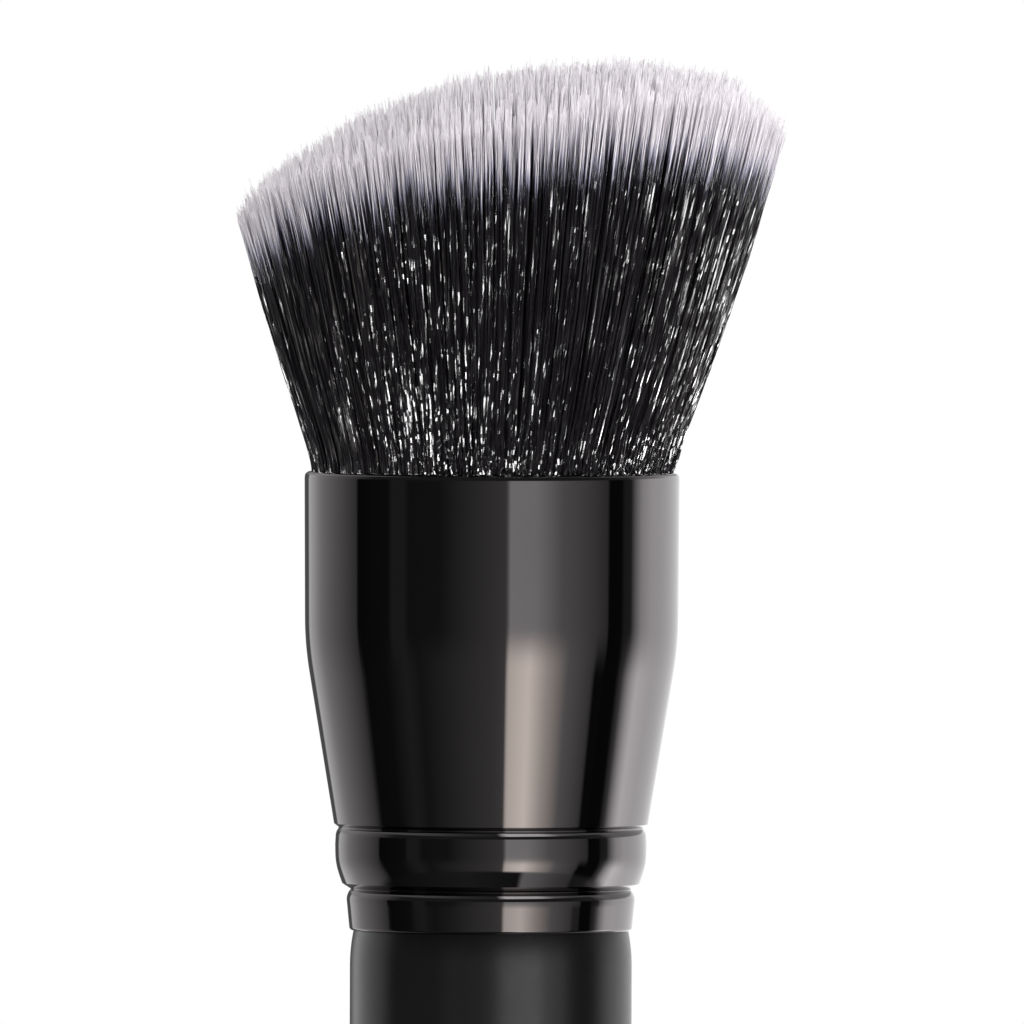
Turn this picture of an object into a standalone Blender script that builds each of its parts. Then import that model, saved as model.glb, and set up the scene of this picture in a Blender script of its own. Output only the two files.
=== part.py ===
"""Angled face brush: a flared two-tone tuft in a rolled metal ferrule on a turned handle.

The brush stands on its handle end. Its axis is Z, the origin is the middle of the end face, and
the cut of the tuft rises from -X to +X. Every size below is a real one, and each piece takes its
place from the piece that carries it.
"""

import math

import bmesh
import bpy
import numpy as np

MM = 0.001

# Fits
FIT_GAP = 0.3 * MM

# Handle, turned from one piece of wood with a tenon at its top
HANDLE_LENGTH = 95.0 * MM
HANDLE_DIAMETER = 21.2 * MM
HANDLE_END_DIAMETER = 18.6 * MM
HANDLE_END_ROUND = 1.2 * MM
HANDLE_STRAIGHT = 22.0 * MM
SHOULDER_HEIGHT = 3.0 * MM
SHOULDER_INSET = 0.35 * MM
TENON_LENGTH = 19.0 * MM
TENON_CHAMFER = 0.8 * MM

# Ferrule, one drawn tube with two rolled grooves that leave a ring and a bead between them
MOUTH_DIAMETER = 28.0 * MM
FERRULE_WALL = 0.45 * MM
BARREL_HEIGHT = 12.75 * MM
TAPER_HEIGHT = 13.7 * MM
TAPER_FOOT_RISE = 0.92 * MM
KNEE_BLEND = 2.2 * MM
BEAD_HEIGHT = 4.45 * MM
BEAD_RISE = 0.87 * MM
RING_HEIGHT = 3.3 * MM
RING_OVERHANG = 0.12 * MM
GROOVE_WIDTH = 0.8 * MM
GROOVE_DEPTH = 0.22 * MM
LIP_ROUND = 0.35 * MM
RIM_ROUND = 0.25 * MM

# The bead's crown, where it stands on the bead, and how much rise is left at its two feet
BEAD_CROWN_SHARE = 0.7
BEAD_LOWER_FOOT_SHARE = 0.17
BEAD_UPPER_FOOT_SHARE = 0.94

# Glue between the tenon and the ferrule
TENON_GLUE_HEIGHT = 3.0 * MM
TENON_GLUE_BELOW_TOP = 3.5 * MM

# Roots of the tuft inside the ferrule
ROOT_DEPTH = 6.0 * MM
ROOT_SLICE_THICKNESS = 2.0 * MM
BINDING_HEIGHT = 1.6 * MM
BINDING_THICKNESS = 0.55 * MM
STRAND_BURY_SHARE = 0.5

# Tuft above the mouth of the ferrule
TUFT_HEIGHT = 30.7 * MM
TUFT_SIDE_DROP = 4.6 * MM
TIP_TAPER = 6.0 * MM
FLARE_ANGLE = math.radians(18.5)
LEAN_ANGLE = math.radians(1.4)
STRAND_COUNT = 384
STRAND_SIDES = 3
STRAND_SHARE = 0.43

# The cut of the tuft along X: place across the tuft, and share of the tuft's height there
CUT_SHARES = (
    (-1.0, 0.65),
    (-0.84, 0.745),
    (-0.55, 0.85),
    (-0.18, 0.955),
    (0.14, 0.99),
    (0.46, 1.0),
    (0.74, 0.96),
    (0.92, 0.885),
    (1.0, 0.845),
)

# Facets of the turned pieces and of their small curves
TURNED_STEPS = 64
ROUND_STEPS = 3
CURVE_STEPS = 5
CRISP_EDGE_ANGLE = math.radians(35)
WELD_DISTANCE = 0.001 * MM

GOLDEN_ANGLE = math.pi * (3.0 - math.sqrt(5.0))

# Radii and heights that follow from the sizes above
handle_radius = HANDLE_DIAMETER / 2
handle_end_radius = HANDLE_END_DIAMETER / 2
shoulder_radius = handle_radius - SHOULDER_INSET
mouth_radius = MOUTH_DIAMETER / 2
bore_radius = mouth_radius - FERRULE_WALL
ring_radius = handle_radius + RING_OVERHANG
valley_radius = ring_radius - GROOVE_DEPTH
bead_radius = ring_radius + BEAD_RISE
taper_foot_radius = ring_radius + TAPER_FOOT_RISE
tenon_radius = valley_radius - FERRULE_WALL - FIT_GAP

ferrule_z = HANDLE_LENGTH + FIT_GAP
lower_groove_z = ferrule_z + RING_HEIGHT
upper_groove_z = lower_groove_z + BEAD_HEIGHT
knee_z = upper_groove_z + TAPER_HEIGHT
mouth_z = knee_z + BARREL_HEIGHT
tenon_top_z = HANDLE_LENGTH + TENON_LENGTH

slice_top_z = mouth_z - ROOT_DEPTH
slice_z = slice_top_z - ROOT_SLICE_THICKNESS
plug_top_z = slice_z - FIT_GAP
plug_z = tenon_top_z + FIT_GAP
binding_z = slice_top_z + FIT_GAP
binding_top_z = binding_z + BINDING_HEIGHT
binding_outer_radius = bore_radius - FIT_GAP
binding_inner_radius = binding_outer_radius - BINDING_THICKNESS


def clear_scene():
    for obj in list(bpy.data.objects):
        bpy.data.objects.remove(obj, do_unlink=True)


def material(name, colour, roughness, metallic=0.0):
    made = bpy.data.materials.new(name)
    made.use_nodes = True
    shader = made.node_tree.nodes["Principled BSDF"]
    shader.inputs["Base Color"].default_value = (*colour, 1.0)
    shader.inputs["Roughness"].default_value = roughness
    shader.inputs["Metallic"].default_value = metallic
    return made


def object_from(name, bm, *materials):
    """One named object from a bmesh, with its normals out and its flat faces kept crisp."""
    bmesh.ops.recalc_face_normals(bm, faces=bm.faces)
    mesh = bpy.data.meshes.new(name)
    bm.to_mesh(mesh)
    bm.free()
    for one in materials:
        mesh.materials.append(one)
    obj = bpy.data.objects.new(name, mesh)
    bpy.context.scene.collection.objects.link(obj)
    return obj


def turned(name, profile, finish, closed=False):
    """Spins a profile of (radius, height) points round Z. A closed profile makes a ring."""
    bm = bmesh.new()
    points = [bm.verts.new((radius, 0.0, height)) for radius, height in profile]
    pairs = list(zip(points, points[1:]))
    if closed:
        pairs.append((points[-1], points[0]))
    edges = [bm.edges.new(pair) for pair in pairs]
    bmesh.ops.spin(
        bm,
        geom=points + edges,
        cent=(0, 0, 0),
        axis=(0, 0, 1),
        angle=math.tau,
        steps=TURNED_STEPS,
        use_merge=True,
    )
    bmesh.ops.remove_doubles(bm, verts=bm.verts, dist=WELD_DISTANCE)
    obj = object_from(name, bm, finish)
    obj.data.shade_smooth()
    obj.data.set_sharp_from_angle(angle=CRISP_EDGE_ANGLE)
    return obj


def quarter_round(centre, radius, start):
    """Points of a quarter circle in the profile plane, from the angle start, counter-clockwise."""
    angles = [start + math.pi / 2 * step / ROUND_STEPS for step in range(ROUND_STEPS + 1)]
    return [(centre[0] + radius * math.cos(a), centre[1] + radius * math.sin(a)) for a in angles]


def handle_profile():
    """From the middle of the end face, up the outside, over the shoulder and up the tenon."""
    end_centre = (handle_end_radius - HANDLE_END_ROUND, HANDLE_END_ROUND)
    points = [(0.0, 0.0)]
    points += quarter_round(end_centre, HANDLE_END_ROUND, -math.pi / 2)
    straight_z = HANDLE_LENGTH - HANDLE_STRAIGHT
    for step in range(1, CURVE_STEPS + 1):
        share = step / CURVE_STEPS
        swell = math.sin(share * math.pi / 2)
        radius = handle_end_radius + (handle_radius - handle_end_radius) * swell
        points.append((radius, HANDLE_END_ROUND + (straight_z - HANDLE_END_ROUND) * share))
    for step in range(CURVE_STEPS + 1):
        turn = math.pi / 2 * step / CURVE_STEPS
        radius = shoulder_radius + SHOULDER_INSET * math.cos(turn)
        points.append((radius, HANDLE_LENGTH - SHOULDER_HEIGHT * (1 - math.sin(turn))))
    points += [
        (tenon_radius, HANDLE_LENGTH),
        (tenon_radius, tenon_top_z - TENON_CHAMFER),
        (tenon_radius - TENON_CHAMFER, tenon_top_z),
        (0.0, tenon_top_z),
    ]
    return points


def bead_points():
    """The bead's crowned outside, between the two grooves."""
    low = lower_groove_z + GROOVE_WIDTH / 2
    high = upper_groove_z - GROOVE_WIDTH / 2
    crown = low + (high - low) * BEAD_CROWN_SHARE
    heights = np.linspace(low, high, CURVE_STEPS + 2)
    points = []
    for height in heights:
        if height < crown:
            away, foot_share = (crown - height) / (crown - low), BEAD_LOWER_FOOT_SHARE
        else:
            away, foot_share = (height - crown) / (high - crown), BEAD_UPPER_FOOT_SHARE
        points.append((bead_radius - BEAD_RISE * (1 - foot_share) * away**2, float(height)))
    return points


def knee_points():
    """The soft bend from the taper into the straight barrel, as a quadratic curve."""
    foot_z = upper_groove_z + GROOVE_WIDTH / 2
    slope = (mouth_radius - taper_foot_radius) / (knee_z - foot_z)
    start = (mouth_radius - slope * KNEE_BLEND, knee_z - KNEE_BLEND)
    middle = (mouth_radius, knee_z)
    end = (mouth_radius, knee_z + KNEE_BLEND)
    points = []
    for step in range(CURVE_STEPS + 1):
        t = step / CURVE_STEPS
        weights = ((1 - t) ** 2, 2 * t * (1 - t), t**2)
        points.append(
            tuple(sum(w * p[k] for w, p in zip(weights, (start, middle, end))) for k in (0, 1))
        )
    return points


def ferrule_wall_points():
    """The ferrule's outside from its bottom to its mouth, with square ends."""
    return [
        (ring_radius, ferrule_z),
        (ring_radius, lower_groove_z - GROOVE_WIDTH / 2),
        (valley_radius, lower_groove_z),
        *bead_points(),
        (taper_foot_radius - GROOVE_DEPTH, upper_groove_z),
        (taper_foot_radius, upper_groove_z + GROOVE_WIDTH / 2),
        *knee_points(),
        (mouth_radius, mouth_z),
    ]


def bore_at(height):
    """The ferrule's inner radius at a height."""
    wall = ferrule_wall_points()
    return float(np.interp(height, [z for _, z in wall], [r for r, _ in wall])) - FERRULE_WALL


def ferrule_profile():
    """A closed profile: up the outside with a rounded rim and lip, then down the bore."""
    outside = ferrule_wall_points()
    bore = [(radius - FERRULE_WALL, height) for radius, height in reversed(outside)]
    rim = quarter_round((ring_radius - RIM_ROUND, ferrule_z + RIM_ROUND), RIM_ROUND, -math.pi / 2)
    lip = quarter_round((mouth_radius - LIP_ROUND, mouth_z - LIP_ROUND), LIP_ROUND, 0.0)
    return rim + outside[1:-1] + lip + bore


def lining(low, high, inner_radius):
    """A closed profile that fills the ferrule between two heights, outside an inner radius."""
    heights = [low] + [z for _, z in ferrule_wall_points() if low < z < high] + [high]
    outside = [(bore_at(z) - FIT_GAP, z) for z in heights]
    if inner_radius > 0.0:
        return [(inner_radius, low), *outside, (inner_radius, high)]
    return [(0.0, low), *outside, (0.0, high)]


def cut_height(across, aside):
    """The tuft's height above the mouth, for a strand at a place in the unit circle."""
    places = [place for place, _ in CUT_SHARES]
    shares = [share for _, share in CUT_SHARES]
    return TUFT_HEIGHT * float(np.interp(across, places, shares)) - TUFT_SIDE_DROP * aside**2


def fan_radius(height):
    """How far from the axis the outermost strand's middle lies at a height.

    The bundle is drawn in by its binding, widens to the mouth, and flares above it.
    """
    spread = 1 + STRAND_SHARE * math.sqrt(math.pi / STRAND_COUNT)
    at_mouth = (bore_radius - FIT_GAP) / spread
    at_binding = (binding_inner_radius - FIT_GAP) / spread
    if height > mouth_z:
        return at_mouth + (height - mouth_z) * math.tan(FLARE_ANGLE)
    narrowing = (at_mouth - at_binding) / (mouth_z - binding_top_z)
    return at_mouth - (mouth_z - height) * narrowing


def lean_at(height):
    """How far the flared tuft leans to +X at a height above the mouth."""
    return max(height - mouth_z, 0.0) * math.tan(LEAN_ANGLE)


def strand_radius(height):
    """Half a strand's width: a fixed share of the distance between neighbours."""
    return STRAND_SHARE * fan_radius(height) * math.sqrt(math.pi / STRAND_COUNT)


def strand_place(across, aside, height):
    """Where the middle of a strand lies at a height."""
    fan = fan_radius(height)
    return across * fan + lean_at(height), aside * fan


def add_strand(bm, index):
    """A slim tapered strand, from inside the root slice to its point on the cut."""
    reach = math.sqrt((index + 0.5) / STRAND_COUNT)
    turn = index * GOLDEN_ANGLE
    across, aside = reach * math.cos(turn), reach * math.sin(turn)
    tip_z = mouth_z + cut_height(across, aside)
    buried_z = slice_top_z - ROOT_SLICE_THICKNESS * STRAND_BURY_SHARE
    rings = []
    corners = [turn + math.tau * side / STRAND_SIDES for side in range(STRAND_SIDES)]
    for height in (buried_z, mouth_z, tip_z - TIP_TAPER):
        width = strand_radius(height)
        x, y = strand_place(across, aside, height)
        rings.append(
            [
                bm.verts.new((x + width * math.cos(a), y + width * math.sin(a), height))
                for a in corners
            ]
        )
    point = bm.verts.new((*strand_place(across, aside, tip_z), tip_z))
    bm.faces.new(rings[0])
    for side in range(STRAND_SIDES):
        beside = (side + 1) % STRAND_SIDES
        for low, high in zip(rings, rings[1:]):
            bm.faces.new((low[side], low[beside], high[beside], high[side]))
        tip = bm.faces.new((rings[-1][side], rings[-1][beside], point))
        tip.material_index = 1


def make_tuft(dark, pale):
    """The strands, joined to the slice of set glue that holds their roots."""
    bm = bmesh.new()
    for index in range(STRAND_COUNT):
        add_strand(bm, index)
    strands = object_from("strands_to_join", bm, dark, pale)
    strands.hide_render = True
    strands.display_type = "WIRE"
    root_slice = lining(slice_z, slice_top_z, 0.0)
    tuft = turned("bristle_tuft", root_slice, dark)
    tuft.data.materials.append(pale)
    join = tuft.modifiers.new("join_strands", "BOOLEAN")
    join.operation = "UNION"
    join.object = strands
    return tuft


def make_brush():
    lacquer = material("matt_black_lacquer", (0.018, 0.018, 0.019), 0.5)
    plated = material("black_plated_metal", (0.16, 0.155, 0.15), 0.1, metallic=1.0)
    dark = material("dark_filament", (0.012, 0.011, 0.013), 0.3)
    pale = material("pale_filament", (0.72, 0.70, 0.73), 0.45)
    glue = material("set_glue", (0.55, 0.42, 0.22), 0.25)
    thread = material("binding_thread", (0.62, 0.58, 0.50), 0.8)

    turned("handle", handle_profile(), lacquer)
    turned("ferrule", ferrule_profile(), plated, closed=True)

    glue_inner = tenon_radius + FIT_GAP
    bead_low = lower_groove_z + GROOVE_WIDTH / 2
    bead_high = upper_groove_z - GROOVE_WIDTH / 2
    turned("bead_glue", lining(bead_low, bead_high, glue_inner), glue, closed=True)
    glue_high = tenon_top_z - TENON_GLUE_BELOW_TOP
    glue_low = glue_high - TENON_GLUE_HEIGHT
    turned("tenon_glue", lining(glue_low, glue_high, glue_inner), glue, closed=True)

    turned("root_plug", lining(plug_z, plug_top_z, 0.0), glue)
    binding = [
        (binding_inner_radius, binding_z),
        (binding_outer_radius, binding_z),
        (binding_outer_radius, binding_top_z),
        (binding_inner_radius, binding_top_z),
    ]
    turned("root_binding", binding, thread, closed=True)
    make_tuft(dark, pale)


clear_scene()
make_brush()
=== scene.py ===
"""The looks of the slanted face brush: a lacquered handle, a rolled ferrule and a dense tuft.

Everything is in metres, in the frame of the solids: +Z up the handle, the longer side of the tuft
towards +X, and the photo taken from -Y. Azimuths are in degrees round Z from the camera's side,
positive towards +X.
"""

import math

from collections import namedtuple

import bmesh
import bpy
import numpy as np
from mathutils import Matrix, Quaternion, Vector


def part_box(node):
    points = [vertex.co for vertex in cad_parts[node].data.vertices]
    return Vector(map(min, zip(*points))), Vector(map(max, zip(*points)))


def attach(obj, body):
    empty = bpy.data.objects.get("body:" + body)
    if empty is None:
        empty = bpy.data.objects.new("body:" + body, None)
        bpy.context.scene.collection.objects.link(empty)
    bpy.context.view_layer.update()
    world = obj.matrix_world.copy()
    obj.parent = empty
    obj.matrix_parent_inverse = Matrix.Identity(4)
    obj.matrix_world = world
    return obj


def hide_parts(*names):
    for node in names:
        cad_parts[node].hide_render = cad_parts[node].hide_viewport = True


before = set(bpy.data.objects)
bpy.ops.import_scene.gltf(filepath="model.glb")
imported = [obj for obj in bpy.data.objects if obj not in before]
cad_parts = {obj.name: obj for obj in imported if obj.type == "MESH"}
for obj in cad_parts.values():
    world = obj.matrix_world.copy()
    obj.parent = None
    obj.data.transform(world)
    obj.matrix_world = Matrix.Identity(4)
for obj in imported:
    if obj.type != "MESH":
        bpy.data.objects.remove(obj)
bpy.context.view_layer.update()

MM = 0.001
BODY = "root"

# The photo: its size, the pixel of the brush's axis at the ferrule's mouth, and its scale
IMAGE_PIXELS = 1024
AXIS_PIXEL = (492.4, 471.5)
PIXEL = 0.0745 * MM
CAMERA_DISTANCE = 3.0
CAMERA_RISE = 0.052
CAMERA_ROLL = 0.2
CAMERA_REACH = 20.0
SENSOR_WIDTH = 36.0

# Places that the solids give
FERRULE_LOW, FERRULE_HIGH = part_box("ferrule")
HANDLE_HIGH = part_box("handle")[1]
MOUTH_Z = FERRULE_HIGH.z
MOUTH_RADIUS = FERRULE_HIGH.x
HANDLE_INSET = 0.1 * MM
HANDLE_RADIUS = HANDLE_HIGH.x - HANDLE_INSET

# Turned pieces: how fine they are, the angle in degrees from which an edge is crisp, how near
# two points are one, and about how long the straight runs of each outline are
TURNED_STEPS = 128
CURVE_STEPS = 8
CREASE = 22.0
WELD = 0.001 * MM
REPEAT = 0.002 * MM
FERRULE_RUN = 0.4 * MM
HANDLE_RUN = 2.0 * MM
ROOT_RUN = 1.5 * MM

# Ferrule: places on it are a radius and a depth below its mouth. Its roundings are a radius and
# the angle where the arc begins, or where it ends for the crown of the lip
WALL = 0.45 * MM
LIP_BEND = (1.35 * MM, 15.0)
LIP_CROWN = (0.55 * MM, 36.0)
LIP_DEPTH = 0.58 * MM
LIP_EDGE = 0.12 * MM
BARREL_NARROWING = 0.06 * MM
KNEE_DEPTH = 12.85 * MM
KNEE_BLEND = 2.1 * MM
TAPER_FOOT_RADIUS = 11.72 * MM
UPPER_GROOVE_DEPTH = 26.62 * MM
UPPER_GROOVE_HALF = 0.37 * MM
UPPER_GROOVE_FLOOR = UPPER_GROOVE_HALF / 3
BEAD_SHOULDER = (11.6 * MM, 27.22 * MM)
BEAD_SHOULDER_ROUND = (1.0 * MM, 38.0)
BEAD_CROWN = (11.63 * MM, 27.8 * MM)
BEAD_MIDDLE = (11.615 * MM, 28.5 * MM)
BEAD_MIDDLE_SLOPE = 0.025
BEAD_CHEEK = (11.47 * MM, 29.58 * MM)
BEAD_CHEEK_SLOPE = 0.26
BEAD_FOOT = (11.1 * MM, 30.7 * MM)
BEAD_FOOT_SLOPE = 0.38
LOWER_GROOVE_DEPTH = 31.15 * MM
LOWER_GROOVE_HALF = 0.04 * MM
RING_TOP = (10.76 * MM, 31.9 * MM)
RING_TOP_ROUND = (1.1 * MM, 43.0)
RING_FOOT_RADIUS = 10.56 * MM
RING_ROUND = 0.25 * MM

# Handle
END_RADIUS = 9.3 * MM
END_ROUND = 1.2 * MM
STRAIGHT_LENGTH = 22.0 * MM
SWELL_POINTS = 40
SHOULDER_HEIGHT = 2.6 * MM
SHOULDER_INSET = 0.26 * MM
SHOULDER_POINTS = 16
SEAT_GAP = 0.01 * MM
HANDLE_TOP = FERRULE_LOW.z - SEAT_GAP
TENON_RADIUS = 9.75 * MM

# Tuft: its outline, and the cut as shares of the height from the left end to the right
TUFT_HEIGHT = 30.35 * MM
ROOT_Z = MOUTH_Z - 6.5 * MM
ROOT_TOP_Z = MOUTH_Z - 6.0 * MM
ROOT_THICKNESS = 2.0 * MM
ROOT_GAP = 0.3 * MM
FAN_START = 13.45 * MM
FAN_SLOPE = 0.3415
FAN_HELD = 0.17 * MM
FAN_OPENING = 2.0 * MM
FAN_CURVE = -1.1
FAN_INSIDE_SLOPE = 0.06
LEAN_SLOPE = 0.036
LEAN_CURVE = -0.8
SIDE_DROP = 3.6 * MM
SIDE_DROP_POWER = 2.6
CUT_SHARES = (
    (-1.0, 0.615), (-0.84, 0.718), (-0.55, 0.839), (-0.18, 0.946), (0.14, 0.987),
    (0.46, 1.0), (0.74, 0.966), (0.92, 0.885), (1.0, 0.838),
)

# Layers of filaments: how many, between which shares of the way out, how many rings each has, how
# many pieces they make, and where the second ring lies as a share of the filament's height
Layer = namedtuple("Layer", "name count reach rings pieces low_share")
LAYERS = (
    Layer("bristles_surface", count=5000, reach=(0.92, 1.0), rings=60, pieces=10, low_share=0.0),
    Layer("bristles_under", count=6500, reach=(0.78, 0.93), rings=19, pieces=6, low_share=0.0),
    Layer("bristles_inner", count=15000, reach=(0.0, 0.8), rings=6, pieces=4, low_share=0.5),
)
SEED = 11

# Each filament: its sides, thickness, point and twist, and how its rings are spread
SIDES = 3
FILAMENT_RADIUS = (0.048 * MM, 0.08 * MM)
TIP_TAPER = 5.0 * MM
TIP_TAPER_POWER = 0.8
TIP_SHARE = 0.32
TWIST = 230.0
RING_CROWDING = 1.2
RING_JITTER = 0.3

# Ends: how unevenly they are cut, and the share of them that are cut shorter still
TIP_SCATTER = 0.2 * MM
SHORT_SCATTER = TIP_SCATTER * 3
SHORT_SHARE = 0.3

# Clumps: how wide they are, how strongly they draw the bodies and the points of their filaments
# together, and how they lift the ends
CLUMP_CELLS = 64
CLUMP_ROOM = (0.1, 0.9)
BODY_CLUMP = 1.5 * MM
BODY_PULL = 0.16
BODY_PULL_SPREAD = (0.4, 1.0)
BODY_BOW = 1.4
BODY_BOW_GAIN = 2
TIP_CLUMP = 0.8 * MM
TIP_PULL = 0.34
TIP_PULL_SPREAD = (0.5, 1.0)
TIP_PULL_POWER = 7
TIP_STEEPNESS = 1.0
TIP_MEAN_REACH = TIP_CLUMP / 3
TIP_LIFT = 0.22 * MM

# Waves along the filaments: a long drift, a short crimp with kinks, and a splay at the mouth
WAVE_COUNT = 2
DRIFT = 0.08 * MM
DRIFT_LENGTHS = (9 * MM, 22 * MM)
CRIMP_LENGTHS = (2.2 * MM, 5.0 * MM)
CRIMP_TILT = 0.11
CRIMP_SPREAD = (0.3, 1.7)
CRIMP_START = 0.4 * MM
CRIMP_END = 5.0 * MM
KINK = 0.035 * MM
SPLAY = 0.34
SPLAY_LEFT = 0.1
SPLAY_REACH = 1.0 * MM

# How strong the crimp is: an even part that fades to the far left and with height, a patch on
# the left that is weaker low down, a part on the right, and one at the mouth. Each pair is where
# a share begins to grow and over what width, or the middle and the width of a patch
EVEN_CRIMP = 0.16
EVEN_CRIMP_LEAST = 0.25
EVEN_CRIMP_FROM = (-58.0, 25.0)
EVEN_CRIMP_LOSS = 0.6
EVEN_CRIMP_FADE = (8.0 * MM, 5.0 * MM)
LEFT_CRIMP = 0.19
LEFT_CRIMP_PATCH = (-22.0, 12.0)
LEFT_CRIMP_LOSS = 0.13
LEFT_CRIMP_LOW = 2.0 * MM
RIGHT_CRIMP = 0.07
RIGHT_CRIMP_FROM = (42.0, 12.0)
MOUTH_CRIMP = 1.1
MOUTH_CRIMP_REACH = 1.3 * MM
LOOSE_FROM = (-26.0, 15.0)

# The strand map, which the colour of the filaments reads: its columns of U, the length that V
# spans, how far faces and caps keep from the edges of their cells, and from which V on the
# filaments are shaded round
STRAND_MAP = "OFBake"
COLUMNS = 64
STRAND_SPAN = 40.0 * MM
MAP_INSET = 0.04
MAP_ENDS = (0.002, 0.998)
CAP_U = (-0.3, 0.3, 0.0)
CAP_V = (0.0, 0.0, 0.0015)
ROUND_FROM = 0.84

# How much of its pale end a filament has lost, by its place from the left end to the right
PALE_CUTS = (
    (-1.0, 1.7 * MM), (-0.6, 1.6 * MM), (-0.35, 1.4 * MM), (-0.17, 1.0 * MM), (-0.02, 1.6 * MM),
    (0.15, 1.5 * MM), (0.4, 1.0 * MM), (0.65, 0.35 * MM), (0.8, 0.6 * MM), (0.92, 0.9 * MM),
)

# Plated metal. Noise is a scale and a detail, and tones are colours by their places on a ramp
PLATING_NOISE = (60.0, 2.0)
PLATING_TONES = ((0.3, (0.168, 0.157, 0.161)), (0.7, (0.178, 0.167, 0.171)))
HAZE_NOISE = (220.0, 4.0)
HAZE_STRETCH = (1.0, 1.0, 0.15)
PLATING_ROUGHNESS = (0.035, 0.065)

# Lacquer
LACQUER_NOISE = (90.0, 3.0)
LACQUER_TONES = ((0.3, (0.0075, 0.0072, 0.0076)), (0.7, (0.0105, 0.0101, 0.0105)))
LACQUER_SPECULAR = 0.3
LACQUER_ROUGHNESS = (0.25, 0.33)
GRAIN_NOISE = (1400.0, 4.0)
GRAIN_STRENGTH = 0.04
GRAIN_DEPTH = 0.05 * MM

# Filaments by V: black, ink, slate and the two tones of the pale end, which is duller
FILAMENT_TONES = (
    (0.825, (0.0125, 0.0108, 0.0130)),
    (0.858, (0.031, 0.029, 0.043)),
    (0.879, (0.34, 0.33, 0.44)),
    (0.902, (0.81, 0.768, 0.815)),
    (0.98, (0.845, 0.808, 0.845)),
)
FILAMENT_SPECULAR = 0.22
FILAMENT_ROUGHNESS = (0.15, 0.5)
FILAMENT_DULLING = (0.84, 0.92)
SHADE_SHIFT = 0.038

# Glue and thread
GLUE_NOISE = (300.0, 3.0)
GLUE_TONES = ((0.35, (0.42, 0.30, 0.14)), (0.65, (0.58, 0.45, 0.24)))
GLUE_ROUGHNESS = 0.3
THREAD_TURNS = 900.0
THREAD_UNEVENNESS = 0.6
THREAD_TONES = ((0.0, (0.34, 0.30, 0.25)), (1.0, (0.66, 0.62, 0.55)))
THREAD_ROUGHNESS = 0.85

# Floor
FLOOR_RADIUS = 3.0
FLOOR_SEGMENTS = 96
FLOOR_FADE = (0.12, 0.6)
FLOOR_COLOUR = (0.82, 0.82, 0.82, 1.0)
FLOOR_ROUGHNESS = 0.9
FLOOR_SPECULAR = 0.1


def place(obj, body=BODY):
    """Links an object into the scene and lets it move with a body."""
    bpy.context.scene.collection.objects.link(obj)
    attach(obj, body)


def turned(name, profile, closed=False):
    """Spins (radius, height) points round Z into a smooth mesh with crisp creases."""
    bm = bmesh.new()
    points = [bm.verts.new((radius, 0.0, height)) for radius, height in profile]
    pairs = list(zip(points, points[1:]))
    if closed:
        pairs.append((points[-1], points[0]))
    edges = [bm.edges.new(pair) for pair in pairs]
    bmesh.ops.spin(
        bm,
        geom=points + edges,
        cent=(0, 0, 0),
        axis=(0, 0, 1),
        angle=math.tau,
        steps=TURNED_STEPS,
        use_merge=True,
    )
    bmesh.ops.remove_doubles(bm, verts=bm.verts, dist=WELD)
    bmesh.ops.recalc_face_normals(bm, faces=bm.faces)
    mesh = bpy.data.meshes.new(name)
    bm.to_mesh(mesh)
    bm.free()
    mesh.shade_smooth()
    mesh.set_sharp_from_angle(angle=math.radians(CREASE))
    return bpy.data.objects.new(name, mesh)


def arc(centre, radius, start, stop):
    """Points of an arc in the profile plane, with angles in degrees."""
    angles = np.radians(np.linspace(start, stop, CURVE_STEPS + 1))
    return [(centre[0] + radius * math.cos(a), centre[1] + radius * math.sin(a)) for a in angles]


def bend(start, middle, end):
    """A quadratic curve between two points, drawn towards a third."""
    points = []
    for t in np.linspace(0.0, 1.0, CURVE_STEPS + 1):
        weights = ((1 - t) ** 2, 2 * t * (1 - t), t * t)
        points.append(
            tuple(sum(w * p[k] for w, p in zip(weights, (start, middle, end))) for k in (0, 1))
        )
    return points


def eased(start, start_slope, end, end_slope):
    """A curve down the profile that leaves and meets its ends at the slopes given."""
    drop = start[1] - end[1]
    share = (start[0] - end[0] - end_slope * drop) / (start_slope - end_slope)
    return bend(start, (start[0] - start_slope * share, start[1] - share), end)


def even(points, run):
    """The same outline with its long straight parts cut into runs of about the length given."""
    finer = [points[0]]
    for (r0, z0), (r1, z1) in zip(points, points[1:]):
        count = max(1, round(math.hypot(r1 - r0, z1 - z0) / run))
        for k in range(1, count + 1):
            finer.append((r0 + (r1 - r0) * k / count, z0 + (z1 - z0) * k / count))
    return finer


def unique(points):
    """The points without repeats of the one before."""
    kept = [points[0]]
    for point in points[1:]:
        if math.dist(point, kept[-1]) > REPEAT:
            kept.append(point)
    return kept


def new_material(name):
    """A new material, its node tree and its shader."""
    made = bpy.data.materials.new(name)
    made.use_nodes = True
    tree = made.node_tree
    return made, tree, tree.nodes["Principled BSDF"]


def feed(tree, node, inputs):
    """Sets each input of a node to the value given for it, or links it to the output given."""
    for key, value in inputs.items():
        if isinstance(value, bpy.types.NodeSocket):
            tree.links.new(value, node.inputs[key])
        else:
            node.inputs[key].default_value = value


def add(tree, kind, inputs=None, **settings):
    """A node with its attributes set and its inputs fed."""
    node = tree.nodes.new(kind)
    for key, value in settings.items():
        setattr(node, key, value)
    feed(tree, node, inputs or {})
    return node


def math_node(tree, operation, *values):
    """What a Math node makes of numbers and the outputs of other nodes."""
    return add(tree, "ShaderNodeMath", dict(enumerate(values)), operation=operation).outputs[0]


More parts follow.
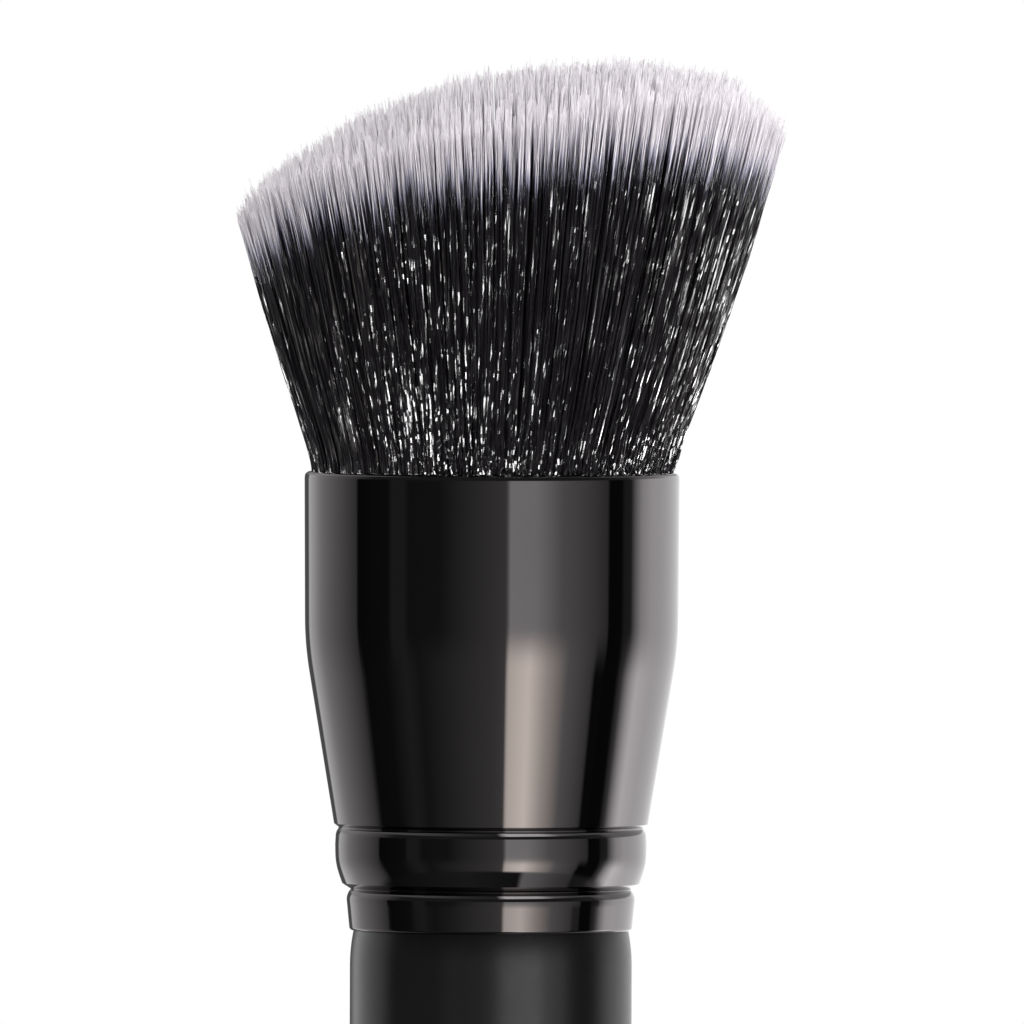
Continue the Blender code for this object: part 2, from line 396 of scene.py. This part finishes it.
def ramp_node(tree, value, stops):
    """The colour that a Color Ramp over (place, colour) stops has at a value."""
    node = add(tree, "ShaderNodeValToRGB", {"Fac": value})
    elements = node.color_ramp.elements
    while len(elements) < len(stops):
        elements.new(1.0)
    for element, (where, colour) in zip(elements, stops):
        element.position = where
        element.color = (*colour, 1.0)
    return node.outputs["Color"]


def noise_node(tree, scale, detail, stretch=None):
    """Noise on the object's own coordinates."""
    vector = add(tree, "ShaderNodeTexCoord").outputs["Object"]
    if stretch is not None:
        mapping = add(tree, "ShaderNodeMapping", {"Vector": vector, "Scale": stretch})
        vector = mapping.outputs["Vector"]
    inputs = {"Vector": vector, "Scale": scale, "Detail": detail}
    return add(tree, "ShaderNodeTexNoise", inputs).outputs["Fac"]


def between(tree, value, low, high, start=0.0, stop=1.0, way="LINEAR"):
    """The value, from start to stop, spread from low to high."""
    inputs = {"Value": value, "From Min": start, "From Max": stop, "To Min": low, "To Max": high}
    return add(tree, "ShaderNodeMapRange", inputs, interpolation_type=way).outputs["Result"]


def mix_shaders(tree, share, first, second):
    """The first shader, giving way to the second as the share grows."""
    inputs = {"Fac": share, 1: first.outputs[0], 2: second.outputs[0]}
    return add(tree, "ShaderNodeMixShader", inputs).outputs[0]


def ferrule_material():
    """Mirror-bright metal, plated black, with a breath of haze."""
    made, tree, shader = new_material("black_plated_metal")
    tone = noise_node(tree, *PLATING_NOISE)
    haze = noise_node(tree, *HAZE_NOISE, HAZE_STRETCH)
    inputs = {
        "Metallic": 1.0,
        "Base Color": ramp_node(tree, tone, PLATING_TONES),
        "Roughness": between(tree, haze, *PLATING_ROUGHNESS),
    }
    feed(tree, shader, inputs)
    return made


def handle_material():
    """Matt black lacquer with a soft touch and a fine grain in its surface."""
    made, tree, shader = new_material("matt_black_lacquer")
    tone = noise_node(tree, *LACQUER_NOISE)
    grain = noise_node(tree, *GRAIN_NOISE)
    bumps = {"Height": grain, "Strength": GRAIN_STRENGTH, "Distance": GRAIN_DEPTH}
    inputs = {
        "Base Color": ramp_node(tree, tone, LACQUER_TONES),
        "Specular IOR Level": LACQUER_SPECULAR,
        "Roughness": between(tree, grain, *LACQUER_ROUGHNESS),
        "Normal": add(tree, "ShaderNodeBump", bumps).outputs["Normal"],
    }
    feed(tree, shader, inputs)
    return made


def filament_material():
    """Glossy black filaments that turn pale and dull over their last few millimetres.

    V of the strand map falls by one over STRAND_SPAN from the point down, and each column of U
    holds the filaments of one shade.
    """
    made, tree, shader = new_material("two_tone_filament")
    uv = add(tree, "ShaderNodeUVMap", uv_map=STRAND_MAP)
    parts = add(tree, "ShaderNodeSeparateXYZ", {0: uv.outputs["UV"]})
    column = math_node(tree, "FLOOR", math_node(tree, "MULTIPLY", parts.outputs["X"], COLUMNS))
    chance = add(tree, "ShaderNodeTexWhiteNoise", {"W": column}, noise_dimensions="1D")
    shift = between(tree, chance.outputs["Value"], -SHADE_SHIFT, SHADE_SHIFT)
    along = math_node(tree, "ADD", parts.outputs["Y"], shift)
    inputs = {
        "Base Color": ramp_node(tree, along, FILAMENT_TONES),
        "Specular IOR Level": FILAMENT_SPECULAR,
        "Roughness": between(tree, along, *FILAMENT_ROUGHNESS, *FILAMENT_DULLING),
    }
    feed(tree, shader, inputs)
    return made


def glue_material():
    """Set glue, amber and a little cloudy."""
    made, tree, shader = new_material("set_glue")
    cloud = noise_node(tree, *GLUE_NOISE)
    colour = ramp_node(tree, cloud, GLUE_TONES)
    feed(tree, shader, {"Base Color": colour, "Roughness": GLUE_ROUGHNESS})
    return made


def thread_material():
    """Undyed thread wound round in fine turns."""
    made, tree, shader = new_material("binding_thread")
    wound = {
        "Vector": add(tree, "ShaderNodeTexCoord").outputs["Object"],
        "Scale": THREAD_TURNS,
        "Distortion": THREAD_UNEVENNESS,
    }
    turns = add(tree, "ShaderNodeTexWave", wound, bands_direction="Z")
    colour = ramp_node(tree, turns.outputs["Fac"], THREAD_TONES)
    feed(tree, shader, {"Base Color": colour, "Roughness": THREAD_ROUGHNESS})
    return made


def rounded(end, radius, start):
    """The rounding above a place on the ferrule's side, from an upward tilt down to none."""
    return arc((end[0] - radius, MOUTH_Z - end[1]), radius, start, 0)


def ferrule_outline():
    """The ferrule's outside from its lip down to its foot."""
    barrel_foot = MOUTH_RADIUS - BARREL_NARROWING
    knee_z = MOUTH_Z - KNEE_DEPTH
    upper_z = MOUTH_Z - UPPER_GROOVE_DEPTH
    lower_z = MOUTH_Z - LOWER_GROOVE_DEPTH
    foot_z = FERRULE_LOW.z
    taper_foot = upper_z + UPPER_GROOVE_HALF
    slope = (barrel_foot - TAPER_FOOT_RADIUS) / (knee_z - taper_foot)
    lip_side = arc((MOUTH_RADIUS - LIP_BEND[0], MOUTH_Z - LIP_DEPTH), *LIP_BEND, 0)
    lip_crown = arc((0.0, MOUTH_Z - LIP_CROWN[0]), LIP_CROWN[0], 90, LIP_CROWN[1])
    inset = lip_side[0][0] - lip_crown[-1][0]
    lip = [(r + inset, z) for r, z in lip_crown] + lip_side
    knee = bend(
        (barrel_foot, knee_z + KNEE_BLEND),
        (barrel_foot, knee_z),
        (barrel_foot - slope * KNEE_BLEND, knee_z - KNEE_BLEND),
    )
    bead_shoulder = rounded(BEAD_SHOULDER, *BEAD_SHOULDER_ROUND)
    upper_groove = [
        (TAPER_FOOT_RADIUS, taper_foot),
        (bead_shoulder[0][0], upper_z + UPPER_GROOVE_FLOOR),
    ]
    crown, middle, cheek, foot = (
        (radius, MOUTH_Z - depth)
        for radius, depth in (BEAD_CROWN, BEAD_MIDDLE, BEAD_CHEEK, BEAD_FOOT)
    )
    bead_side = eased(crown, 0.0, middle, BEAD_MIDDLE_SLOPE)
    bead_side += eased(middle, BEAD_MIDDLE_SLOPE, cheek, BEAD_CHEEK_SLOPE)
    bead_side += eased(cheek, BEAD_CHEEK_SLOPE, foot, BEAD_FOOT_SLOPE)
    ring_shoulder = rounded(RING_TOP, *RING_TOP_ROUND)
    lower_groove = [(ring_shoulder[0][0], lower_z + LOWER_GROOVE_HALF)]
    ring_foot = arc((RING_FOOT_RADIUS - RING_ROUND, foot_z + RING_ROUND), RING_ROUND, 0, -90)
    bead = upper_groove + bead_shoulder + bead_side
    return lip + knee + bead + lower_groove + ring_shoulder + ring_foot


def make_ferrule():
    """The tube: its outside, and an inside that keeps clear of the tenon."""
    outside = unique(ferrule_outline())
    lip_foot = MOUTH_Z - LIP_DEPTH
    inside = [(max(r - WALL, TENON_RADIUS + WALL), z) for r, z in outside[::-1] if z < lip_foot]
    inside += [(MOUTH_RADIUS - WALL, lip_foot), (MOUTH_RADIUS - WALL, MOUTH_Z - LIP_EDGE)]
    obj = turned("ferrule_tube", unique(even(outside + inside, FERRULE_RUN)), closed=True)
    obj.data.materials.append(ferrule_material())
    place(obj)
    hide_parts("ferrule")


def make_handle():
    """The handle from the middle of its end face to the top of its tenon."""
    profile = [(0.0, 0.0)]
    profile += arc((END_RADIUS - END_ROUND, END_ROUND), END_ROUND, -90, 0)
    straight_z = HANDLE_TOP - STRAIGHT_LENGTH
    for share in np.linspace(0.0, 1.0, SWELL_POINTS)[1:]:
        swell = math.sin(share * math.pi / 2)
        radius = END_RADIUS + (HANDLE_RADIUS - END_RADIUS) * swell
        profile.append((radius, END_ROUND + (straight_z - END_ROUND) * share))
    for share in np.linspace(0.0, 1.0, SHOULDER_POINTS):
        radius = HANDLE_RADIUS - SHOULDER_INSET * share**2
        profile.append((radius, HANDLE_TOP - SHOULDER_HEIGHT * (1 - share)))
    profile += [(TENON_RADIUS, HANDLE_TOP), (TENON_RADIUS, HANDLE_HIGH.z), (0.0, HANDLE_HIGH.z)]
    obj = turned("handle_stick", unique(even(profile, HANDLE_RUN)))
    obj.data.materials.append(handle_material())
    place(obj)
    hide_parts("handle")
    return obj


def fan_radius(height):
    """How far from the axis the outermost filament lies at a height above the mouth."""
    above = np.maximum(height, 0.0)
    below = np.minimum(height, 0.0)
    opening = above / FAN_OPENING
    held = FAN_HELD * opening * np.exp(1 - opening)
    return FAN_START + FAN_SLOPE * above - held + FAN_CURVE * above**2 + FAN_INSIDE_SLOPE * below


def lean(height):
    """How far the tuft's middle lies towards +X at a height above the mouth."""
    above = np.maximum(height, 0.0)
    return LEAN_SLOPE * above + LEAN_CURVE * above**2


def cut_height(across, aside):
    """The tuft's height above the mouth at a place in the unit circle."""
    drop = SIDE_DROP * np.abs(aside) ** SIDE_DROP_POWER
    return TUFT_HEIGHT * np.interp(across, *zip(*CUT_SHARES)) - drop


def pale_cut(across):
    """How much of the pale end each filament has lost, by its place across the tuft."""
    return np.interp(across, *zip(*PALE_CUTS))[:, None]


def scatter(count, reach, rng):
    """Even random places in a ring of the unit circle."""
    radius = np.sqrt(rng.uniform(reach[0] ** 2, reach[1] ** 2, count))
    turn = rng.uniform(0.0, math.tau, count)
    return radius * np.cos(turn), radius * np.sin(turn)


def clump_middles(rng):
    """Where the clumps of a grid of cells have their middles, and how much higher each one is."""
    cells = (CLUMP_CELLS, CLUMP_CELLS)
    places = rng.uniform(*CLUMP_ROOM, (*cells, 2))
    return np.concatenate([places, rng.normal(0.0, 1.0, (*cells, 1))], 2)


def to_clump(x, y, spacing, middles):
    """The way from each filament to the middle of its clump, and how much higher the clump is."""
    place_in = np.stack([x, y], 1) / spacing + CLUMP_CELLS / 2
    cells = np.clip(place_in.astype(int), 0, CLUMP_CELLS - 1)
    found = middles[cells[:, 0], cells[:, 1]]
    return (cells + found[:, :2] - place_in) * spacing, found[:, 2]


def grown(value, start, width):
    """A share that grows from none at the start to the whole over a width."""
    return np.clip((value - start) / width, 0.0, 1.0)


def waves(heights, lengths, size, rng):
    """Sideways waves along each filament. The size is of the slope, so short ones are shallow."""
    total = np.zeros((2, *heights.shape))
    each = (len(heights), 1)
    for _ in range(WAVE_COUNT):
        length = rng.uniform(*lengths, each)
        phase = rng.uniform(0.0, math.tau, each)
        turn = rng.uniform(0.0, math.tau, each)
        wave = size * length / math.tau * np.sin(math.tau * heights / length + phase)
        total += np.stack([np.cos(turn), np.sin(turn)]) * wave
    return total


def crimp(azimuth, heights):
    """How strongly the filaments are crimped, by where they stand and at each height."""
    spread = EVEN_CRIMP_LEAST + (1 - EVEN_CRIMP_LEAST) * grown(azimuth, *EVEN_CRIMP_FROM)
    high = grown(heights, *EVEN_CRIMP_FADE)
    middle, width = LEFT_CRIMP_PATCH
    patch = np.exp(-(((azimuth - middle) / width) ** 2))
    low = np.exp(-heights / LEFT_CRIMP_LOW)
    right = grown(azimuth, *RIGHT_CRIMP_FROM)
    mouth = np.exp(-heights / MOUTH_CRIMP_REACH) * grown(azimuth, *LOOSE_FROM)
    side = (LEFT_CRIMP - LEFT_CRIMP_LOSS * low) * patch + RIGHT_CRIMP * right
    return EVEN_CRIMP * spread * (1 - EVEN_CRIMP_LOSS * high) + side + MOUTH_CRIMP * mouth


def splay(azimuth, heights, rng):
    """How far each filament bows aside just above the mouth, less so on the left."""
    share = SPLAY_LEFT + (1 - SPLAY_LEFT) * grown(azimuth, *LOOSE_FROM)
    above = np.maximum(heights, 0.0)
    slope = rng.normal(0.0, SPLAY, (2, len(heights), 1))
    return slope * share * above * np.exp(-above / SPLAY_REACH)


def filament_ends(across, aside, middles, rng):
    """How high each filament ends, and how far its clump draws its body and its point."""
    count = len(across)
    tip = cut_height(across, aside)
    fan = fan_radius(tip)
    end = across * fan + lean(tip), aside * fan
    body, _ = to_clump(*end, BODY_CLUMP, middles)
    point, lift = to_clump(*end, TIP_CLUMP, middles[::-1])
    tip = tip + TIP_STEEPNESS * (TIP_MEAN_REACH - np.hypot(*point.T)) + TIP_LIFT * lift
    tip += rng.normal(0.0, TIP_SCATTER, count)
    tip -= np.abs(rng.normal(0.0, SHORT_SCATTER, count)) * (rng.random(count) < SHORT_SHARE)
    body *= BODY_PULL * rng.uniform(*BODY_PULL_SPREAD, (count, 1))
    point *= TIP_PULL * rng.uniform(*TIP_PULL_SPREAD, (count, 1))
    return tip[:, None], body, point


def ring_heights(tip, low, rings, rng):
    """Where the rings lie: one at the root, and the others between low and the tip."""
    steps = np.arange(rings - 1) + rng.uniform(-RING_JITTER, RING_JITTER, (len(tip), rings - 1))
    steps[:, 0], steps[:, -1] = 0, rings - 2
    heights = low + (tip - low) * (steps / (rings - 2)) ** RING_CROWDING
    return np.concatenate([np.full((len(tip), 1), ROOT_Z - MOUTH_Z), heights], 1)


def filament_paths(across, aside, tip, heights, body, point, rng):
    """The x and y of the middle of every ring."""
    share = np.clip(heights / tip, 0.0, 1.0)
    fan = fan_radius(heights)
    path = np.stack([across[:, None] * fan + lean(heights), aside[:, None] * fan])
    bowed = body.T[:, :, None] * share * (BODY_BOW - share) * BODY_BOW_GAIN
    path += bowed + point.T[:, :, None] * share**TIP_PULL_POWER
    path += waves(heights, DRIFT_LENGTHS, 1.0, rng) * math.tau * DRIFT / DRIFT_LENGTHS[1] * share
    azimuth = np.degrees(np.arctan2(across, -aside))[:, None]
    strength = rng.uniform(*CRIMP_SPREAD, tip.shape) * crimp(azimuth, heights)
    calm = grown(tip - heights, 0.0, CRIMP_END) * grown(heights, 0.0, CRIMP_START)
    path += waves(heights, CRIMP_LENGTHS, CRIMP_TILT, rng) * strength * calm
    path += rng.normal(0.0, KINK, path.shape) * strength * calm
    return path + splay(azimuth, heights, rng)


def ring_points(path, heights, tip, rng):
    """The corners of every ring, narrower near the tip and turned a little from ring to ring."""
    thick = rng.uniform(*FILAMENT_RADIUS, tip.shape)
    full = grown(tip - heights, 0.0, TIP_TAPER) ** TIP_TAPER_POWER
    radius = thick * (TIP_SHARE + (1 - TIP_SHARE) * full)
    turn = rng.uniform(0.0, math.tau, tip.shape) + heights * rng.normal(0.0, TWIST, tip.shape)
    turn = turn[:, :, None] + np.arange(SIDES) * math.tau / SIDES
    ring = path[:, :, :, None] + radius[:, :, None] * np.stack([np.cos(turn), np.sin(turn)])
    height = np.repeat((MOUTH_Z + heights)[:, :, None], SIDES, axis=2)
    return np.stack([ring[0], ring[1], height], -1).reshape(-1, 3)


def faces_and_caps(count, rings):
    """The corners of the faces between the rings, and those of the caps at both ends."""
    base = (np.arange(count) * rings * SIDES)[:, None, None]
    low = base + (np.arange(rings - 1) * SIDES)[None, :, None]
    side = np.arange(SIDES)[None, None, :]
    beside = (side + 1) % SIDES
    corners = (low + side, low + beside, low + SIDES + beside, low + SIDES + side)
    top = base[:, 0] + (rings - 1) * SIDES + np.arange(SIDES)
    bottom = base[:, 0] + np.arange(SIDES)[::-1]
    return np.stack(corners, -1).reshape(-1, 4), np.concatenate([top, bottom])


def map_corners(v, rng):
    """The places on the strand map of the corners of the faces and then of the caps."""
    count, rings, _ = v.shape
    column = rng.integers(0, COLUMNS, count)[:, None, None]
    edges = np.array([MAP_INSET, 1 - MAP_INSET])[:, None, None, None]
    u_low, u_high = (column + (np.arange(SIDES) + edges) / SIDES) / COLUMNS
    u_low, u_high, v_low, v_high = (
        np.broadcast_to(part, (count, rings - 1, SIDES))
        for part in (u_low, u_high, v[:, :-1], v[:, 1:])
    )
    around = ((u_low, v_low), (u_high, v_low), (u_high, v_high), (u_low, v_high))
    faces = np.stack([np.stack(pair, -1) for pair in around], -2)
    cap_u = (column[:, 0] + 0.5 + np.array(CAP_U)) / COLUMNS
    top = np.stack([cap_u, v[:, -1] - np.array(CAP_V)], -1)
    bottom = np.stack([cap_u, v[:, 0] + np.array(CAP_V)], -1)
    return np.concatenate([part.reshape(-1, 2) for part in (faces, top, bottom)])


def filament_mesh(name, points, faces, caps, places, smooth):
    """A mesh of four-sided faces and then caps, with their places on the strand map."""
    mesh = bpy.data.meshes.new(name)
    loops = np.concatenate([faces.reshape(-1), caps.reshape(-1)])
    cap_starts = faces.size + np.arange(len(caps)) * SIDES
    starts = np.concatenate([np.arange(len(faces)) * 4, cap_starts])
    mesh.vertices.add(len(points))
    mesh.vertices.foreach_set("co", points.astype(np.float32).reshape(-1))
    mesh.loops.add(len(loops))
    mesh.loops.foreach_set("vertex_index", loops.astype(np.int32))
    mesh.polygons.add(len(starts))
    mesh.polygons.foreach_set("loop_start", starts.astype(np.int32))
    layer = mesh.uv_layers.new(name=STRAND_MAP)
    layer.data.foreach_set("uv", places.astype(np.float32).reshape(-1))
    mesh.update(calc_edges=True)
    mesh.validate()
    mesh.polygons.foreach_set("use_smooth", smooth)
    return mesh


def filaments(name, across, aside, layer, middles, rng):
    """One piece of closed tapered filaments, shaded round near their ends."""
    tip, body, point = filament_ends(across, aside, middles, rng)
    heights = ring_heights(tip, tip * layer.low_share, layer.rings, rng)
    path = filament_paths(across, aside, tip, heights, body, point, rng)
    points = ring_points(path, heights, tip, rng)
    faces, caps = faces_and_caps(len(tip), layer.rings)
    v = 1.0 - (tip - heights + pale_cut(across)) / STRAND_SPAN
    v = np.clip(v, *MAP_ENDS)[:, :, None]
    smooth = np.repeat(v[:, 1:] > ROUND_FROM, SIDES, axis=2).reshape(-1)
    smooth = np.concatenate([smooth, np.zeros(len(caps), bool)])
    mesh = filament_mesh(name, points, faces, caps, map_corners(v, rng), smooth)
    return bpy.data.objects.new(name, mesh)


def make_tuft():
    """The layers of filaments, each in pieces round the axis."""
    rng = np.random.default_rng(SEED)
    middles = clump_middles(rng)
    material = filament_material()
    made = []
    for layer in LAYERS:
        across, aside = scatter(layer.count, layer.reach, rng)
        turn = np.arctan2(aside, across) / math.tau + 0.5
        sector = (turn * layer.pieces).astype(int) % layer.pieces
        for number in range(layer.pieces):
            places = across[sector == number], aside[sector == number]
            obj = filaments(f"{layer.name}_{number + 1}", *places, layer, middles, rng)
            obj.data.materials.append(material)
            place(obj)
            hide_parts("bristle_tuft")
            made.append(obj)
    return made


def make_root_slice(glue):
    """The slice of set glue that the filaments grow from."""
    edge = MOUTH_RADIUS - WALL - ROOT_GAP
    low = ROOT_TOP_Z - ROOT_THICKNESS
    profile = [(0.0, low), (edge, low), (edge, ROOT_TOP_Z), (0.0, ROOT_TOP_Z)]
    obj = turned("root_slice", even(profile, ROOT_RUN))
    obj.data.materials.append(glue)
    place(obj)
    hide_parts("bristle_tuft")


def finish_inner_nodes(glue):
    """Gives the solids that stay their materials."""
    thread = thread_material()
    for node, material in (
        ("root_plug", glue),
        ("bead_glue", glue),
        ("tenon_glue", glue),
        ("root_binding", thread),
    ):
        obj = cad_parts[node]
        obj.data.materials.clear()
        obj.data.materials.append(material)


# The light from all round the brush: azimuth and brightness, and a tint where it has one.
# At eye level, from behind round the left: dim, bright, dark, dim, bright, dark, bright
WHITE = (1.0, 1.0, 1.0)
WARM = (1.08, 1.0, 0.9)
EYE_LEVEL = (
    (-180, 0.10), (-157, 0.12), (-154, 0.9), (-142, 0.84), (-132, 0.62), (-92.5, 0.14),
    (-91.5, 0.012), (-67, 0.02), (-65, 0.055), (-56, 0.055), (-53, 0.028),
    (-32, 0.034), (0, 0.15), (9.5, 0.19),
    (10.5, 0.84), (27, 0.80), (44, 0.37), (76, 0.12),
    (77, 0.010), (88, 0.012), (89, 0.05), (95.5, 0.06),
    (106, 1.1), (116, 1.4), (145, 1.28), (160, 1.2), (180, 1.4),
)
# Below it: much the same but brighter, and warm on the right of the front
BELOW = (
    (-180, 0.10), (-157, 0.12), (-154, 1.3), (-142, 1.05), (-130, 0.72), (-95, 0.17),
    (-89, 0.016), (-72, 0.02), (-57, 0.06), (-52, 0.05), (-47, 0.035),
    (-30, 0.075), (0, 0.16), (8.5, 0.21),
    (10.5, 1.95, WARM), (24, 2.55, WARM), (36, 1.32, WARM), (50, 0.40), (68, 0.17),
    (70, 0.010), (88, 0.012), (93, 0.20),
    (102, 1.75), (108, 2.5), (124, 1.75), (145, 1.45), (180, 1.7),
)
# Well below: dark in front, and dim on the right of it
WELL_BELOW = (
    (-180, 0.10), (-154, 0.5), (-114, 0.25), (-101, 0.03), (-88, 0.02), (-60, 0.035), (-20, 0.055),
    (23, 0.03), (27, 0.55), (40, 0.41), (50, 0.27), (60, 0.19), (68, 0.15), (71, 0.045),
    (84, 0.06), (94, 0.25), (112, 0.3), (140, 0.3), (180, 0.1),
)
# Above eye level: dark in front
ABOVE = (
    (-180, 0.15), (-154, 0.6), (-130, 0.6), (-92, 0.16), (-80, 0.05),
    (10, 0.05), (70, 0.05), (94, 0.08), (108, 0.5), (180, 0.6),
)
# High up: bright on the right of the front
OVERHEAD = (
    (-180, 0.5), (-130, 0.5), (-95, 0.35), (-60, 0.25), (-25, 0.12), (6, 0.08),
    (14, 2.0), (46, 1.7), (60, 0.5), (80, 0.25), (110, 0.4), (180, 0.5),
)
ZENITH = ((-180, 0.05), (180, 0.05))
# The rings above the lowest, and the elevations over which each takes over from the one below
HIGHER_RINGS = (
    (BELOW, -31.0, -26.0),
    (EYE_LEVEL, -18.0, -3.0),
    (ABOVE, 6.0, 11.0),
    (OVERHEAD, 30.0, 36.0),
    (ZENITH, 62.0, 70.0),
)


def ring_of_light(tree, azimuth, stops):
    """A ring of light by azimuth. A ramp holds values up to one, so it is scaled and back."""
    scale = max(stop[1] for stop in stops) * max(WARM)
    places = []
    for angle, light, *tint in stops:
        colour = tint[0] if tint else WHITE
        places.append(((angle + 180) / 360, tuple(light * c / scale for c in colour)))
    inputs = {0: ramp_node(tree, azimuth, places), "Scale": scale}
    return add(tree, "ShaderNodeVectorMath", inputs, operation="SCALE").outputs["Vector"]


def make_world():
    """The rings of light by direction, and a plain white that only the camera sees."""
    world = bpy.data.worlds.new("studio")
    bpy.context.scene.world = world
    world.use_nodes = True
    tree = world.node_tree
    tree.nodes.clear()
    direction = add(tree, "ShaderNodeTexCoord").outputs["Generated"]
    x, y, z = add(tree, "ShaderNodeSeparateXYZ", {0: direction}).outputs
    front = math_node(tree, "MULTIPLY", y, -1.0)
    turn = math_node(tree, "ARCTAN2", x, front)
    azimuth = math_node(tree, "MULTIPLY_ADD", turn, 1 / math.tau, 0.5)
    elevation = math_node(tree, "MULTIPLY", math_node(tree, "ARCSINE", z), 180 / math.pi)
    light = ring_of_light(tree, azimuth, WELL_BELOW)
    for ring, start, stop in HIGHER_RINGS:
        inputs = {
            "Factor": between(tree, elevation, 0.0, 1.0, start, stop, "SMOOTHSTEP"),
            "A": light,
            "B": ring_of_light(tree, azimuth, ring),
        }
        light = add(tree, "ShaderNodeMix", inputs, data_type="RGBA").outputs["Result"]
    surroundings = add(tree, "ShaderNodeBackground", {"Color": light})
    plain = add(tree, "ShaderNodeBackground", {"Color": (*WHITE, 1.0)})
    seen = add(tree, "ShaderNodeLightPath").outputs["Is Camera Ray"]
    add(tree, "ShaderNodeOutputWorld", {"Surface": mix_shaders(tree, seen, surroundings, plain)})


# Snooted softboxes that light one part each: its name, what they give it, the azimuth and
# elevation of the softbox, how wide and high it looks and how far it is tilted, all in degrees,
# and its light
SNOOTS = (
    ("tuft", "shine", (46, -25.3), (26, 3.8), -9.0, 90.0),
    ("tuft", "shine", (-53, -38.5), (29, 7), 6.0, 95.0),
    ("tuft", "shine", (122, -21), (11, 5), 0.0, 75.0),
    ("tuft", "shine", (5, 6), (60, 26), 0.0, 80.0),
    ("tuft", "shine", (36, -57), (44, 11), 0.0, 95.0),
    ("tuft", "shine", (-62, 0), (56, 50), 0.0, 0.6),
    ("tuft", "matt", (22, 26), (110, 70), 0.0, 1.2),
    ("tuft", "matt", (82, 18), (80, 60), 0.0, 2.1),
    ("tuft", "matt", (-52, 10), (90, 70), 0.0, 0.86),
    ("handle", "both", (24, -2), (34, 24), 0.0, 2.35),
    ("handle", "both", (48, -2), (32, 24), 0.0, 1.3),
    ("handle", "both", (-14, -2), (48, 24), 0.0, 0.4),
    ("handle", "both", (-55, -2), (50, 24), 0.0, 0.2),
    ("handle", "both", (-122, 0), (55, 30), 0.0, 0.7),
)
SNOOT_DISTANCE = 0.5
TUFT_AIM = 16.0 * MM
SNOOT_AIMS = {"tuft": MOUTH_Z + TUFT_AIM, "handle": HANDLE_TOP}


def make_snoots(parts):
    """The snooted softboxes, each linked to the pieces of the part that it lights."""
    lit = {}
    for part, pieces in parts.items():
        lit[part] = bpy.data.collections.new(f"lit_{part}")
        for piece in pieces:
            lit[part].objects.link(piece)
    for number, (part, gives, towards, spans, tilt, light) in enumerate(SNOOTS):
        turn, rise = (math.radians(angle) for angle in towards)
        way = Vector(
            (math.sin(turn) * math.cos(rise), -math.cos(turn) * math.cos(rise), math.sin(rise))
        )
        data = bpy.data.lights.new(f"snoot_{number + 1}", "AREA")
        data.shape = "RECTANGLE"
        data.size, data.size_y = (
            2 * SNOOT_DISTANCE * math.tan(math.radians(span / 2)) for span in spans
        )
        data.energy = light * math.pi * data.size * data.size_y
        lamp = bpy.data.objects.new(data.name, data)
        bpy.context.scene.collection.objects.link(lamp)
        lamp.location = Vector((0.0, 0.0, SNOOT_AIMS[part])) + way * SNOOT_DISTANCE
        facing = way.to_track_quat("Z", "Y") @ Quaternion((0, 0, 1), math.radians(tilt))
        lamp.rotation_euler = facing.to_euler()
        lamp.light_linking.receiver_collection = lit[part]
        lamp.visible_diffuse = gives != "shine"
        lamp.visible_glossy = gives != "matt"


def make_floor():
    """A pale floor that fades into the white background away from the brush."""
    bm = bmesh.new()
    bmesh.ops.create_circle(bm, cap_ends=True, segments=FLOOR_SEGMENTS, radius=FLOOR_RADIUS)
    mesh = bpy.data.meshes.new("floor")
    bm.to_mesh(mesh)
    bm.free()
    floor = bpy.data.objects.new("floor", mesh)
    bpy.context.scene.collection.objects.link(floor)
    made, tree, shader = new_material("pale_floor")
    inputs = {
        "Base Color": FLOOR_COLOUR,
        "Roughness": FLOOR_ROUGHNESS,
        "Specular IOR Level": FLOOR_SPECULAR,
    }
    feed(tree, shader, inputs)
    white = add(tree, "ShaderNodeEmission")
    place_on = add(tree, "ShaderNodeTexCoord").outputs["Object"]
    distance = add(tree, "ShaderNodeVectorMath", {0: place_on}, operation="LENGTH")
    fade = between(tree, distance.outputs["Value"], 0.0, 1.0, *FLOOR_FADE, "SMOOTHSTEP")
    seen = add(tree, "ShaderNodeLightPath").outputs["Is Camera Ray"]
    surface = mix_shaders(tree, math_node(tree, "MULTIPLY", fade, seen), shader, white)
    feed(tree, tree.nodes["Material Output"], {"Surface": surface})
    mesh.materials.append(made)
    floor.visible_glossy = False


def make_camera():
    """A long lens at the photo's height, framed by the pixel of the axis at the mouth."""
    data = bpy.data.cameras.new("camera")
    camera = bpy.data.objects.new("camera", data)
    bpy.context.scene.collection.objects.link(camera)
    half = IMAGE_PIXELS / 2
    aim = Vector(
        ((half - AXIS_PIXEL[0]) * PIXEL, 0.0, MOUTH_Z + (AXIS_PIXEL[1] - half) * PIXEL)
    )
    camera.location = (aim.x, -CAMERA_DISTANCE, MOUTH_Z + CAMERA_RISE)
    sight = aim - camera.location
    roll = Quaternion((0, 0, 1), math.radians(CAMERA_ROLL))
    camera.rotation_euler = (sight.to_track_quat("-Z", "Y") @ roll).to_euler()
    data.sensor_width = SENSOR_WIDTH
    data.lens = SENSOR_WIDTH * sight.length / (IMAGE_PIXELS * PIXEL)
    data.clip_end = CAMERA_REACH
    bpy.context.scene.camera = camera


bpy.context.scene.view_settings.view_transform = "Standard"
make_camera()
make_world()
make_floor()
glue = glue_material()
make_ferrule()
handle = make_handle()
make_root_slice(glue)
make_snoots({"tuft": make_tuft(), "handle": [handle]})
finish_inner_nodes(glue)
